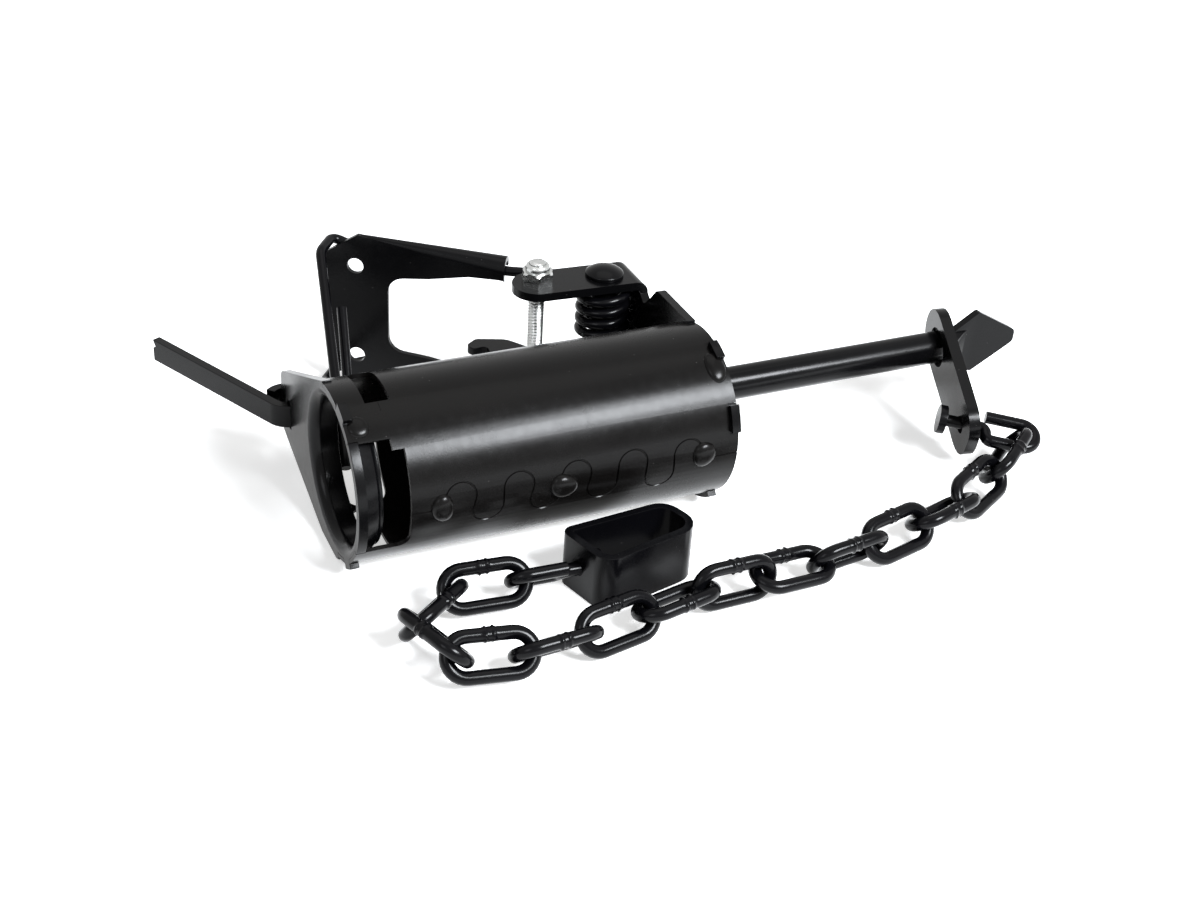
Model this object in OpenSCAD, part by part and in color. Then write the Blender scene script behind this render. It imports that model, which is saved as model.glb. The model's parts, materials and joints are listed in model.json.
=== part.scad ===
// Foot-encapsulating raccoon trap with chain and swivels, shown sprung.
// X runs along the tube from the mouth plate to the closed end, Z is up.
// The origin is on the tube axis in the plane of the mouth.

/* [Tube] */
// Outside diameter of the tube
tube_od = 63.5; // [58:0.5:70]
// Wall of the tube
tube_wall = 1.5; // [1.2:0.1:2]
// Length of the tube over its end tabs
tube_len = 139.8; // [130:0.1:150]
// Width of the slots beside the mouth, along the tube
slot_w = 8.7; // [7:0.1:10]
// Far edge of the window in front of the strike wires
window_x = 18.2; // [16:0.1:22]
// Far edge of the opening that the strike wires sweep through
sweep_x = 25; // [23:0.5:28]

/* [Plates] */
// Thickness of the stamped mouth and end plates
plate_t = 3.3; // [2.5:0.1:4]
// Free radius of the drawn collar in the mouth
mouth_r = 25.5; // [22:0.1:27]
// Depth of the drawn collar
collar_d = 10; // [7:0.1:13]
// Thickness of the drawn collar
collar_t = 1.4; // [1:0.1:2]
// How far the ear of the mouth plate reaches from the tube axis
ear_y = 66; // [64:0.1:72]
// Distance between the outer faces of the two spring flanges
flange_span = 57.2; // [55:0.1:62]

/* [Pins and bolt] */
// Distance of the spring pin from the closed end of the tube
pin_back = 14.2; // [12.8:0.1:17.8]
// Spring pin, distance from the tube axis
pin_y = 57.5; // [56:0.1:60]
// Diameter of the spring pin
pin_d = 9.5; // [8:0.1:11]
// Diameter of the heads of the spring pin
pin_head_d = 14.7; // [12:0.1:18]
// Distance from the spring pin to the trigger bolt, along the tube
bolt_ahead = 27.2; // [25.6:0.1:29.2]
// Trigger bolt, distance from the tube axis
bolt_y = 59; // [58:0.1:61]
// Diameter of the trigger bolt
bolt_d = 6.3; // [5:0.1:7]
// Width of the lock nut and bolt head across the flats
nut_af = 11.1; // [10:0.1:12]
// Running clearance of hinged parts, on the radius
run_c = 0.08; // [0.03:0.01:0.1]
// Seat clearance between pieces that are pressed or riveted together
seat_c = 0.05; // [0.02:0.01:0.08]

/* [Spring and lever] */
// Diameter of the spring wire
wire_d = 3.9; // [3.4:0.1:4.2]
// Outside diameter of the spring coils
coil_od = 21.4; // [19:0.1:21.6]
// Turns in each half of the spring
coil_turns = 4; // [3:1:5]
// Angle of the sprung lever from the tube axis
lever_a = 32.3; // [30:0.1:34]
// Thickness of the lever sheet
lever_t = 2; // [1.5:0.1:2.4]
// Reach of the lever from the spring pin
lever_reach = 110; // [106:0.5:111]
// Reach of the channel's inner end from the spring pin
channel_start = 39; // [38.6:0.1:42]
// Diameter of the two holes beside the lever window
lever_hole_d = 6.5; // [5:0.1:7.5]

/* [Dog and trigger] */
// Thickness of the dog bar
dog_t = 3.5; // [3:0.1:4]
// Height of the dog bar
dog_h = 9; // [7:0.1:10]
// Centre of the ear slot from the tube axis
dog_slot_y = 54.75; // [54:0.05:55]
// Length of the dog's straight arm
dog_len = 67.5; // [60:0.5:70]
// Direction of the hanging dog arm, from the tube axis
dog_a = 116.5; // [100:0.5:130]
// Thickness of the trigger plate
trigger_t = 3.3; // [2.5:0.1:3.6]
// Reach of the trigger's hook from its bolt
hook_reach = 29; // [27:0.1:31]
// Reach of the trigger's leg into the tube
leg_reach = 56; // [50:0.5:58]

/* [Anchor rod] */
// Diameter of the anchor rod
rod_d = 12.8; // [11:0.1:14]
// Distance of the rod from the tube axis
rod_y = 11.3; // [8:0.1:14]
// Free length of the rod from the end plate to the blade
rod_len = 115.5; // [114:0.5:130]
// Width of the flattened blade
blade_w = 26.8; // [20:0.1:32]
// Thickness of the flattened blade
blade_t = 3.2; // [2.5:0.1:4.5]
// Length of the flattened blade
blade_l = 33; // [30:0.5:45]

/* [Rod swivel] */
// Thickness of the swivel plate
swivel_t = 4.4; // [4:0.1:6]
// Width of the swivel plate
swivel_w = 26; // [23:0.1:30]
// Length of the swivel plate
swivel_l = 62.5; // [58:0.5:66]
// Diameter of the plate's hole around the rod
swivel_hole_d = 16; // [15.4:0.1:18]
// Distance from the rod hole to the eye hole
swivel_pitch = 37; // [34:0.1:38]

/* [Chain] */
// Diameter of the chain wire
link_d = 4.8; // [4:0.1:5.2]
// Inside length of a chain link
link_in = 24; // [22:0.1:26]
// Outside width of a chain link
link_w = 18; // [17.6:0.1:21]
// Slack left between two neighbouring links
link_gap = 0.4; // [0.3:0.05:0.8]

/* [Box swivel] */
// Width of the strip that the box is bent from
box_h = 21; // [18:0.5:26]
// Thickness of the box strip
box_t = 3; // [2:0.1:3.5]
// Outside length of the box along its eye's axis
box_l = 45; // [42:0.5:50]
// Mean outside width of the box
box_w = 24; // [22:0.5:28]
// Diameter of the fixing hole in the box
box_hole_d = 4.8; // [4:0.1:6]

/* [Hidden] */
$fn = 64;

tube_r = tube_od / 2;
bore_r = tube_r - tube_wall;
far_x = tube_len - plate_t;
pin_x = tube_len - pin_back;
bolt_x = pin_x - bolt_ahead;
flange_z = flange_span / 2;
flange_in = flange_z - plate_t;
wire_r = wire_d / 2;
coil_r = coil_od / 2 - wire_r;
// Height of the plane that the trap stands on
floor_z = -33.85;

function unit(v) = v / norm(v);
function on_circle(c, r, a) = c + r * [cos(a), sin(a)];
function arc(c, r, a0, a1, n) = [for (i = [0:n]) on_circle(c, r, a0 + (a1 - a0) * i / n)];
function half_turn(a) = a > 180 ? a - 360 : a < -180 ? a + 360 : a;

// Points of the arc that rounds the corner b between a and c with radius r, moved inwards by t
function corner(a, b, c, r, t, n = 5) =
    let (u = unit(a - b), v = unit(c - b), h = acos(u * v) / 2, m = b + unit(u + v) * r / sin(h))
    let (p = b + u * r / tan(h) - m, q = b + v * r / tan(h) - m)
    let (s = atan2(p.y, p.x), d = half_turn(atan2(q.y, q.x) - s))
    [for (i = [0:n]) on_circle(m, r - t, s + d * i / n)];

// A closed outline from [x, y, corner radius] rows, moved inwards by t
function rounded(p, t = 0) = [for (i = [0:len(p) - 1])
    let (a = p[(i + len(p) - 1) % len(p)], b = p[i], c = p[(i + 1) % len(p)])
    each b.z > 0 ? corner([a.x, a.y], [b.x, b.y], [c.x, c.y], b.z, t) : [[b.x, b.y]]];

function mirrored(p) = [for (i = [len(p) - 1:-1:0]) [p[i].x, -p[i].y, p[i].z]];

// Extrudes a (y, z) drawing along X, from x0
module along_x(x0, len) {
    translate([x0, 0, 0]) rotate([90, 0, 90]) linear_extrude(len) children();
}

// A cylinder on the X axis
module bar_x(x0, len, r) {
    translate([x0, 0, 0]) rotate([0, 90, 0]) cylinder(h = len, r = r);
}

// A cylinder that leaves the X axis at the angle a, measured from +Y towards +Z
module spoke(x, a, r, len, start = 0) {
    translate([x, 0, 0]) rotate([a, 0, 0]) rotate([-90, 0, 0])
        translate([0, 0, start]) cylinder(h = len - start, r = r);
}

// The wedge from a0 to a1 around the X axis, from the axis or from a radius outwards
module wedge(x0, x1, a0, a1, start = 0) {
    n = max(1, ceil((a1 - a0) / 30));
    inner = start > 0 ? arc([0, 0], start, a1, a0, n) : [[0, 0]];
    along_x(x0, x1 - x0) polygon(concat(inner, arc([0, 0], 2 * tube_r, a0, a1, n)));
}

// An opening through the tube wall with rounded corners
module wall_opening(x0, x1, a0, a1, r, start = 0) {
    da = r / tube_r * 180 / PI;
    wedge(x0 + r, x1 - r, a0, a1, start);
    wedge(x0, x1, a0 + da, a1 - da, start);
    for (x = [x0 + r, x1 - r], a = [a0 + da, a1 - da]) spoke(x, a, r, 2 * tube_r, start);
}

// Angles, from +Y towards +Z, where the tube's end tabs reach over a plate and where its lugs sit
tab_angles = [[76, 104], [120, 131], [210, 231], [246, 259]];
lug_angles = [[105.5, 118.5], [232.5, 244.5]];
end_tab_angles = [[76, 104], [120, 148], [168, 231], [262, 284]];
end_lug_angles = [[105.5, 118.5], [149.5, 166.5], [232.5, 260.5]];
lug_r = tube_r + 2.05;

// Everything between two angle lists' tabs is cut from the tube end
module end_gaps(x0, x1, tabs) {
    for (i = [0:len(tabs) - 1]) {
        a0 = tabs[i][1];
        a1 = i + 1 < len(tabs) ? tabs[i + 1][0] : tabs[0][0] + 360;
        wedge(x0, x1, a0, a1);
    }
}

module tube() color([0.1, 0.1, 0.11]) {
    slot_r = slot_w / 2 - 0.05;
    slot_x = window_x - slot_w;
    difference() {
        bar_x(0, tube_len, tube_r);
        bar_x(-1, tube_len + 2, bore_r);
        end_gaps(-1, plate_t + seat_c, tab_angles);
        end_gaps(far_x - seat_c, tube_len + 1, end_tab_angles);
        wedge(-1, window_x - 4, 132.5, 209);
        wall_opening(2, window_x, 132.5, 209, 4);
        wall_opening(slot_x, window_x, 63, 114, slot_r);
        wall_opening(slot_x, window_x, 246, 297, slot_r);
        wall_opening(slot_x + 0.4, sweep_x, -60, 3, 5, 0.7 * bore_r);
        wall_opening(bolt_x - 17.4, bolt_x + 26.6, -36, -3, 4);
    }
}

// The mouth plate's outline on the ear side, upper half first
ear_outline = [[8.1, 31.4, 0], [ear_y - 1, 4.6, 4], [ear_y - 1.4, -19.4, 3], [14.4, floor_z, 1.5],
    [-3, floor_z, 1.5], [-16, -28, 0]];

// A round plate that fits the tube end, with room for its tabs and with peened lugs
module end_disc(x0, tabs, lugs) {
    difference() {
        bar_x(x0, plate_t, tube_r);
        for (t = tabs) difference() {
            wedge(x0 - 1, x0 + plate_t + 1, t[0] - 0.3, t[1] + 0.3);
            bar_x(x0 - 2, plate_t + 4, bore_r - seat_c);
        }
    }
    for (g = lugs) intersection() {
        wedge(x0, x0 + plate_t, g[0], g[1]);
        bar_x(x0, plate_t, lug_r);
    }
}

module mouth_plate() color([0.1, 0.1, 0.11]) {
    slot_half = dog_t / 2 + 0.7;
    lip = mouth_r + 4;
    difference() {
        union() {
            end_disc(0, tab_angles, lug_angles);
            difference() {
                along_x(0, plate_t) polygon(rounded(ear_outline));
                for (t = tab_angles) difference() {
                    wedge(-1, plate_t + 1, t[0] - 0.3, t[1] + 0.3);
                    bar_x(-2, plate_t + 4, bore_r - seat_c);
                    along_x(-2, plate_t + 4) polygon([[8, 40], [8, -40], [80, -40], [80, 40]]);
                }
            }
        }
        bar_x(-1, plate_t + 2, lip);
        along_x(-1, plate_t + 2) polygon(rounded([[dog_slot_y - slot_half, dog_z1 + 1.5, 1.2],
            [dog_slot_y - slot_half, dog_z0 - 1, 1.2], [dog_slot_y + slot_half, dog_z0 - 1, 1.2],
            [dog_slot_y + slot_half, dog_z1 + 1.5, 1.2]]));
    }
    // The collar: a rounded lip that turns into a short sleeve
    rotate([0, 90, 0]) rotate_extrude() polygon(concat(
        [[lip, 0], [lip, plate_t]],
        arc([lip, collar_d], lip - mouth_r - collar_t, 235, 180, 5),
        [[mouth_r + collar_t, collar_d], [mouth_r, collar_d]],
        arc([lip, 4], lip - mouth_r, 180, 270, 8)));
}

// Where the flanges begin and the height of the ear that they share with the web
flange_y = 47.5;
flange_end_y = ear_y + 0.4;
// The outline of a spring flange, seen from above
flange_r = 9.6;
flange_outline = concat(arc([bolt_x, bolt_y], flange_r, 86, 257, 14),
    [[far_x, flange_y], [far_x, flange_end_y]]);

module flange() {
    bend_r = plate_t + 1.5;
    difference() {
        union() {
            translate([0, 0, flange_in]) linear_extrude(plate_t) intersection() {
                polygon(flange_outline);
                square([tube_len - bend_r, 2 * ear_y]);
            }
            // The bend that joins the flange to the web
            translate([tube_len - bend_r, flange_y, flange_z - bend_r]) rotate([-90, 0, 0])
                intersection() {
                    difference() {
                        cylinder(h = flange_end_y - flange_y, r = bend_r);
                        translate([0, 0, -1]) cylinder(h = flange_end_y, r = bend_r - plate_t);
                    }
                    translate([0, -bend_r, 0]) cube([bend_r, bend_r, flange_end_y]);
                }
            translate([far_x, flange_y, flange_z - bend_r - 6]) cube([plate_t, flange_end_y - flange_y, 6]);
        }
        translate([pin_x, pin_y, 0]) cylinder(h = flange_span, d = pin_d + 2 * seat_c);
        translate([bolt_x, bolt_y, 0]) cylinder(h = flange_span, d = bolt_d + 2 * seat_c);
    }
}

module end_plate() color([0.1, 0.1, 0.11]) {
    difference() {
        union() {
            end_disc(far_x, end_tab_angles, end_lug_angles);
            along_x(far_x, plate_t) polygon(rounded(concat(web_half, mirrored(web_half))));
        }
        translate([0, rod_y, 0]) bar_x(far_x - 1, plate_t + 2, rod_neck_r + seat_c);
    }
    flange();
    mirror([0, 0, 1]) flange();
}

// Web outline up to the height where the flange bends begin
web_half = [[8.2, 31.7, 0], [34, 31.7, 3], [39, 26, 1.5], [44, 21, 1.5],
    [flange_y, flange_z - plate_t - 1.5, 0],
    [flange_end_y, flange_z - plate_t - 1.5, 0]];

rod_neck_r = rod_d / 2 - 1.9;

module anchor_rod() color([0.1, 0.1, 0.11]) translate([0, rod_y, 0]) {
    blade_x = tube_len + rod_len;
    taper = 9;
    intersection() {
        bar_x(tube_len, rod_len + taper + 3, rod_d / 2);
        translate([0, 0, -rod_d]) linear_extrude(2 * rod_d) polygon([
            [tube_len, -rod_d], [blade_x, -rod_d / 2],
            [blade_x + taper, -blade_t / 2], [blade_x + 20, -blade_t / 2],
            [blade_x + 20, blade_t / 2], [blade_x + taper, blade_t / 2],
            [blade_x, rod_d / 2], [tube_len, rod_d]]);
    }
    translate([0, blade_t / 2, 0]) rotate([90, 0, 0]) linear_extrude(blade_t) polygon(rounded([
        [blade_x - 1, -rod_d / 2 + 1.5, 0], [blade_x + 3, -rod_d / 2, 3], [blade_x + 14, -blade_w / 2, 1.5],
        [blade_x + blade_l, -2.6, 2.5], [blade_x + blade_l, 2.6, 2.5],
        [blade_x + 14, blade_w / 2, 1.5], [blade_x + 3, rod_d / 2, 3], [blade_x - 1, rod_d / 2 - 1.5, 0]]));
    // The neck through the end plate and its peened head
    bar_x(far_x - 0.2, plate_t + 0.2, rod_neck_r);
    translate([far_x - 1.7, 0, 0]) rotate([0, 90, 0]) cylinder(h = 1.7, r1 = rod_neck_r, r2 = rod_d / 2);
}

// A domed rivet head on the plane z = 0
module dome(r, edge, rise) {
    ball = (r * r + rise * rise) / (2 * rise);
    cylinder(h = edge, r = r);
    translate([0, 0, edge]) intersection() {
        translate([0, 0, rise - ball]) sphere(r = ball);
        cylinder(h = rise + 1, r = r);
    }
}

module spring_pin() color([0.12, 0.12, 0.13]) translate([pin_x, pin_y, 0]) {
    translate([0, 0, -flange_z - 0.1]) cylinder(h = flange_span + 0.2, d = pin_d);
    for (s = [0, 1]) mirror([0, 0, s]) translate([0, 0, flange_z]) dome(pin_head_d / 2, 1.4, 2.6);
}

module hexagon(af, h) {
    cylinder(h = h, r = af / 2 / cos(30), $fn = 6);
}

bolt_head_h = 4.2;
nut_h = 5.6;
nut_collar_h = 2.6;

module trigger_bolt() color([0.75, 0.75, 0.74]) translate([bolt_x, bolt_y, 0]) {
    translate([0, 0, -flange_z]) cylinder(h = flange_span + nut_h + nut_collar_h + 0.8, d = bolt_d);
    intersection() {
        translate([0, 0, -flange_z - bolt_head_h]) rotate(20) hexagon(nut_af, bolt_head_h);
        translate([0, 0, -flange_z - bolt_head_h]) cylinder(h = bolt_head_h, r1 = nut_af / 2, r2 = nut_af);
    }
}

module lock_nut() color([0.78, 0.78, 0.76]) translate([bolt_x, bolt_y, flange_z]) difference() {
    union() {
        intersection() {
            rotate(12) hexagon(nut_af, nut_h);
            cylinder(h = nut_h, r1 = nut_af, r2 = nut_af / 2 + 0.3);
        }
        cylinder(h = nut_h + nut_collar_h, r = nut_af / 2 - 0.9);
    }
    translate([0, 0, -1]) cylinder(h = 20, d = bolt_d + 2 * seat_c);
}

// Points on the lever are [reach from the pin, offset outwards, height]
function lever_point(p) = [-p.x, p.y, p.z];

// Places children in the lever's frame: X runs from the lever's tip to the pin, Y outwards
module at_lever() {
    translate([pin_x, pin_y, 0]) rotate(-lever_a) children();
}

// A path through the given points, each inner corner rounded with its own radius
function bend(a, b, c, r, n) =
    let (u = unit(a - b), v = unit(c - b), h = acos(u * v) / 2, m = b + unit(u + v) * r / sin(h))
    let (p = b + u * r / tan(h) - m, q = b + v * r / tan(h) - m, w = acos(p * q / r / r))
    [for (i = [0:n]) m + (sin(w * (1 - i / n)) * p + sin(w * i / n) * q) / sin(w)];
function path(p, r, n = 5) = [
    p[0],
    each [for (i = [1:len(p) - 2]) each bend(p[i - 1], p[i], p[i + 1], r[i - 1], n)],
    p[len(p) - 1]
];

// The direction of travel at each point of a path
function headings(p) = [for (i = [0:len(p) - 1])
    unit(unit(p[min(i + 1, len(p) - 1)] - p[max(i - (i == len(p) - 1 ? 1 : 0), 0)])
        + unit(p[max(i, 1)] - p[max(i, 1) - 1]))];

// A round wire of radius r along a path, as one closed skin
module wire(p, r, sides = 8) {
    t = headings(p);
    side0 = unit(cross(t[0], abs(t[0].z) < 0.8 ? [0, 0, 1] : [1, 0, 0]));
    across = [for (i = 0, s = side0; i < len(p);
        s = i + 1 < len(p) ? unit(s - (s * t[i + 1]) * t[i + 1]) : s, i = i + 1) s];
    rings = [for (i = [0:len(p) - 1], k = [0:sides - 1])
        p[i] + r * (cos(360 * k / sides) * across[i] + sin(360 * k / sides) * cross(t[i], across[i]))];
    caps = [[for (k = [0:sides - 1]) k], [for (k = [sides - 1:-1:0]) (len(p) - 1) * sides + k]];
    skin = [for (i = [0:len(p) - 2], k = [0:sides - 1], h = [0, 1])
        let (a = i * sides + k, b = i * sides + (k + 1) % sides)
        h == 0 ? [a, a + sides, b] : [b, a + sides, b + sides]];
    polyhedron(rings, concat(caps, skin));
}

// One half of the double spring with its arm and strike wire
coil_z1 = flange_in - wire_r - 0.12;
coil_z0 = 4.5;
turn_rings = 8;
coil_steps = coil_turns * turn_rings;
coil_pitch = (coil_z1 - coil_z0) / coil_turns;
// Where the arm leaves the coil, on the outer side of the pin
leave_a = 97;

function coil_point(i) = let (a = leave_a - 360 * i / turn_rings)
    [coil_r * cos(a), coil_r * sin(a), coil_z1 - coil_pitch * i / turn_rings];
function half_coil() = [for (i = [0:coil_steps]) coil_point(i)];

arm_y = lever_t + wire_r + 0.15;
// Reach at which the rolled channels end
sheet_end = lever_reach - 17;
wire_bend_r = 7;
// Where each arm bends around the lever's tip edge: reach and height
crossing = [lever_reach - 0.6, 28.8];

function upper_arm() = [for (p = [
    [38, arm_y, coil_z1], [sheet_end, arm_y + 0.5, 23.7],
    [crossing.x - 1, arm_y, crossing.y + 0.4], [crossing.x, -9, crossing.y]
]) lever_point(p)];

// World points of the wire tips, turned into the lever's frame
function to_lever(w) = let (x = w.x - pin_x, y = w.y - pin_y)
    [x * cos(lever_a) - y * sin(lever_a), x * sin(lever_a) + y * cos(lever_a), w.z];

tip_upper = to_lever([pin_x - 111.1, 32, -21]);
tip_lower = to_lever([pin_x - 94.6, 90, 13]);
low_lower = to_lever([pin_x - 101.1, 60, -14]);

upper_path = concat(path(concat([tip_upper], [for (i = [3:-1:0]) upper_arm()[i]], [coil_point(0)]),
    [wire_bend_r, 3.5, 20, 60]), [for (i = [1:coil_steps]) coil_point(i)]);

// The coil's least gap to itself, measured between points a turn apart
coil_gap = min([for (i = [0:coil_steps - turn_rings], k = [-1:1])
    norm(coil_point(i) - coil_point(i + turn_rings + k))]) - wire_d;
echo(coil_gap = coil_gap);

function flip(p) = [for (q = p) [q.x, q.y, -q.z]];

lower_path = concat(path(concat([tip_lower, low_lower], flip([for (i = [3:-1:0]) upper_arm()[i]]),
    flip([coil_point(0)])), [6, wire_bend_r, 3.5, 20, 60]), flip([for (i = [1:coil_steps]) coil_point(i)]));

module spring_upper() color([0.11, 0.11, 0.12]) at_lever() wire(upper_path, wire_r, 6);
module spring_lower() color([0.11, 0.11, 0.12]) at_lever() wire(lower_path, wire_r, 6);

// The loop between the two halves goes on from the coils and bears on the back of the tube
bridge_gap = 10.5;
bridge_turn = 100;
bridge_steps = 6;

function bridge_point(i) =
    let (sweep = bridge_gap + bridge_turn * i / bridge_steps, a = leave_a - lever_a - sweep)
    [pin_x + coil_r * cos(a), pin_y + coil_r * sin(a), coil_z0 - coil_pitch * sweep / 360];

module spring_bridge() color([0.11, 0.11, 0.12]) {
    last = bridge_point(bridge_steps);
    rest_y = tube_r + wire_r + 0.3;
    half = concat([for (i = [0:bridge_steps]) bridge_point(i)], [[pin_x - 11, rest_y, last.z]],
        [for (a = [60, 30]) [pin_x - 11 - last.z * cos(a), rest_y, last.z * sin(a)]]);
    nose = [pin_x - 11 - last.z, rest_y, 0];
    wire(concat(half, [nose], flip([for (i = [len(half) - 1:-1:0]) half[i]])), wire_r, 6);
}

// The lever: a sheet with a window. Each long edge is folded outwards around a spring arm, in a roll
// that widens from the crest beside the tip to the end beside the coil
lever_win_x = lever_reach - 24.9;
channel_r = 5.2;
channel_z = 23.5;
crest = [sheet_end + 2.9, 31.9];
crest_r = 1.2;
hole_reach = sheet_end + 5.2;
sheet_outline = [[lever_reach, 24.5, 1.5], [sheet_end + 10.3, 29.1, 2], [sheet_end + 4.2, 33.1, 1.2],
    [channel_start, channel_z, 0], [channel_start, 20.9, 0], [53, 20.7, 0], [69, 17.7, 0],
    [lever_win_x, 16, 6.5]];

module lever_outline() {
    polygon([for (p = rounded(concat(sheet_outline, mirrored(sheet_outline)))) [-p.x, p.y]]);
}

// The cone of a fold, with its radius at the crest and beside the coil
module roll(crest_r1, coil_r1, over = 0) hull() {
    translate([-crest.x, crest_r, crest.y]) rotate([0, 90, 0]) cylinder(h = 0.1, r = crest_r1);
    translate([-channel_start - 0.1, channel_r, channel_z]) rotate([0, 90, 0])
        cylinder(h = 0.1 + over, r = coil_r1);
}

module lever() color([0.11, 0.11, 0.12]) at_lever() {
    difference() {
        translate([0, lever_t, 0]) rotate([90, 0, 0]) linear_extrude(lever_t) lever_outline();
        for (s = [-1, 1]) translate([-hole_reach, -1, s * 19.8]) rotate([-90, 0, 0])
            cylinder(h = lever_t + 2, d = lever_hole_d);
    }
    for (s = [0, 1]) mirror([0, 0, s]) difference() {
        roll(crest_r, channel_r);
        roll(0.1, channel_r - lever_t, 1);
        // Room for the arm: below the fold's axis only the sheet is left
        translate([0, 4 * channel_r, 0]) rotate([90, 0, 0]) linear_extrude(4 * channel_r - lever_t) polygon([
            [-crest.x - 1, crest.y], [-crest.x, crest.y], [-channel_start, channel_z],
            [-channel_start + 2, channel_z], [-channel_start + 2, 0], [-crest.x - 1, 0]]);
    }
}

// The dog: a flat bar curled around the outer strip of the mouth plate's ear
dog_x = plate_t / 2;
dog_pivot_y = 61.7;
dog_z1 = -4;
dog_z0 = dog_z1 - dog_h;
curl_in = 5.35;
curl_sweep = 292;

module dog() color([0.11, 0.11, 0.12]) translate([dog_x, dog_pivot_y, dog_z0]) rotate(dog_a + 90) {
    rotate_extrude(angle = curl_sweep) translate([curl_in, 0]) square([dog_t, dog_h]);
    difference() {
        translate([curl_in, -dog_len, 0]) cube([dog_t, dog_len, dog_h]);
        translate([curl_in - 1, -dog_len, dog_h]) rotate([30, 0, 0]) translate([0, -6, -3])
            cube([dog_t + 2, 6, 8]);
    }
}

// The trigger: a stamped hook on the bolt, with a leg that reaches into the tube
trigger_z = dog_z1 - 1.9 - trigger_t;
hook_a = 125.5;
hub_r = 7.5;

module trigger() color([0.11, 0.11, 0.12]) translate([bolt_x, bolt_y, trigger_z]) difference() {
    union() {
        cylinder(h = trigger_t, r = hub_r);
        linear_extrude(trigger_t) rotate(hook_a - 180) {
            polygon(rounded([[0, -7.4, 0], [0, 7.4, 0], [-6, 9.5, 5], [-19, 9.5, 7], [-hook_reach, 2.5, 3],
                [-hook_reach, -4.5, 2.4], [-24.6, -4.8, 1], [-22, 0.4, 2], [-17.5, -4.2, 2]]));
        }
        linear_extrude(trigger_t) rotate(leg_a) polygon(rounded([[0, -7, 0], [14, -5, 8],
            [leg_reach, -5, 3], [leg_reach, 5, 3], [14, 5, 8], [0, 7, 0]]));
        rotate(leg_a) translate([leg_reach - trigger_t, -5, 0]) cube([trigger_t, 10, 16]);
    }
    translate([0, 0, -1]) cylinder(h = trigger_t + 2, d = bolt_d + 2 * run_c);
}
leg_a = -108;

// The swivel plate hangs on the rod and leans on the floor
swivel_x = tube_len + rod_len - 0.8;
swivel_swing = -61.5;
swivel_lean = 26;
swivel_twist = -34.5;
// Play of the rod in the plate's hole, below the rod
swivel_play = 0.5;

module at_swivel() {
    translate([swivel_x, rod_y, 0]) rotate([swivel_swing, swivel_lean, 0]) rotate(swivel_twist)
        translate([0, 0, -swivel_play]) children();
}

module swivel_plate() color([0.12, 0.12, 0.13]) at_swivel() {
    top = 15.3;
    low = top - swivel_l;
    difference() {
        along_x(-swivel_t / 2, swivel_t) polygon(rounded([
            [-swivel_w / 2, top, 11.5], [swivel_w / 2, top, 11.5],
            [swivel_w / 2, low, 10], [-swivel_w / 2, low, 10]
        ]));
        bar_x(-swivel_t, 2 * swivel_t, swivel_hole_d / 2);
        translate([0, 0, -swivel_pitch]) bar_x(-swivel_t, 2 * swivel_t, eye_hole_d / 2);
    }
}

// A part of a ring around the point c in the XY plane, from the angle a0 on
module ring(c, bend_r, a0, sweep, r) {
    translate([c.x, c.y, 0]) rotate(a0) rotate_extrude(angle = sweep) translate([bend_r, 0]) circle(r = r);
}

// A bent-over open eye on a headed shank. The shank runs along +X from its head, the eye lies beyond foot_x
module eye_swivel(head_x, foot_x, eye_l, eye_w) {
    r = link_d / 2;
    bend_r = (eye_w - link_d) / 2;
    end_x = foot_x + eye_l - bend_r - r;
    bar_x(head_x, foot_x - head_x, r);
    bar_x(head_x, head_t, head_d / 2);
    ring([foot_x, -bend_r / 2], bend_r / 2, 0, 90, r);
    ring([foot_x + bend_r, -bend_r / 2], bend_r / 2, 180, 90, r);
    translate([0, -bend_r, 0]) bar_x(foot_x + bend_r, end_x - foot_x - bend_r, r);
    ring([end_x, 0], bend_r, -90, 180, r);
    translate([0, bend_r, 0]) bar_x(foot_x + eye_mouth, end_x - foot_x - eye_mouth, r);
}

head_t = 3;
head_d = 11.2;
eye_w = 16;
// Room between the plane of the eye's foot and its cut end
eye_mouth = 2.4;
eye_hole_d = 6.8;
eye_roll = 87.6;
eye_tilt = 4.9;
eye_yaw = -18.5;

module at_rod_eye() {
    at_swivel() translate([0, 0, -swivel_pitch]) rotate([eye_roll, 0, 0]) rotate([0, eye_tilt, 0])
        rotate(eye_yaw) children();
}

module rod_eye() color([0.12, 0.12, 0.13]) at_rod_eye() eye_swivel(-10.8, 5.4, 24.6, eye_w);

// The chain lies on the floor: heading, climb and roll of each link, from the rod swivel on
chain_start = [swivel_x + 8.7, rod_y - 44.5, -19.7];
chain_lay = [[216, -6, 50], [207, -4, -50], [196, -1, 34], [193, -1, -50], [186, -2, 60], [184, 3, -12],
    [183, 2, -83], [190, -2, 23], [191, 0, -57], [185, 1, 45], [173, 3, -49], [107, -3, 48],
    [39, -3, -52], [-5, 0, 52]];
// In the tight turn the links have slid off the middle of each other's bows
turn_slips = [[1.4, 0.7, 0.1], [0.9, -1.1, 1.8], [-0.1, -1, -1.7], [-0.8, -0.4, 0.9]];
turn_from = len(chain_lay) - len(turn_slips);
link_pitch = link_in - link_gap;

function link_step(k) = let (s = chain_lay[k])
    link_pitch * [cos(s.x) * cos(s.y), sin(s.x) * cos(s.y), sin(s.y)];
function link_slip(k) = k < turn_from ? [0, 0, 0] : turn_slips[k - turn_from];
function link_start(k) = k == 0 ? chain_start : link_start(k - 1) + link_step(k - 1) + link_slip(k);

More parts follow.
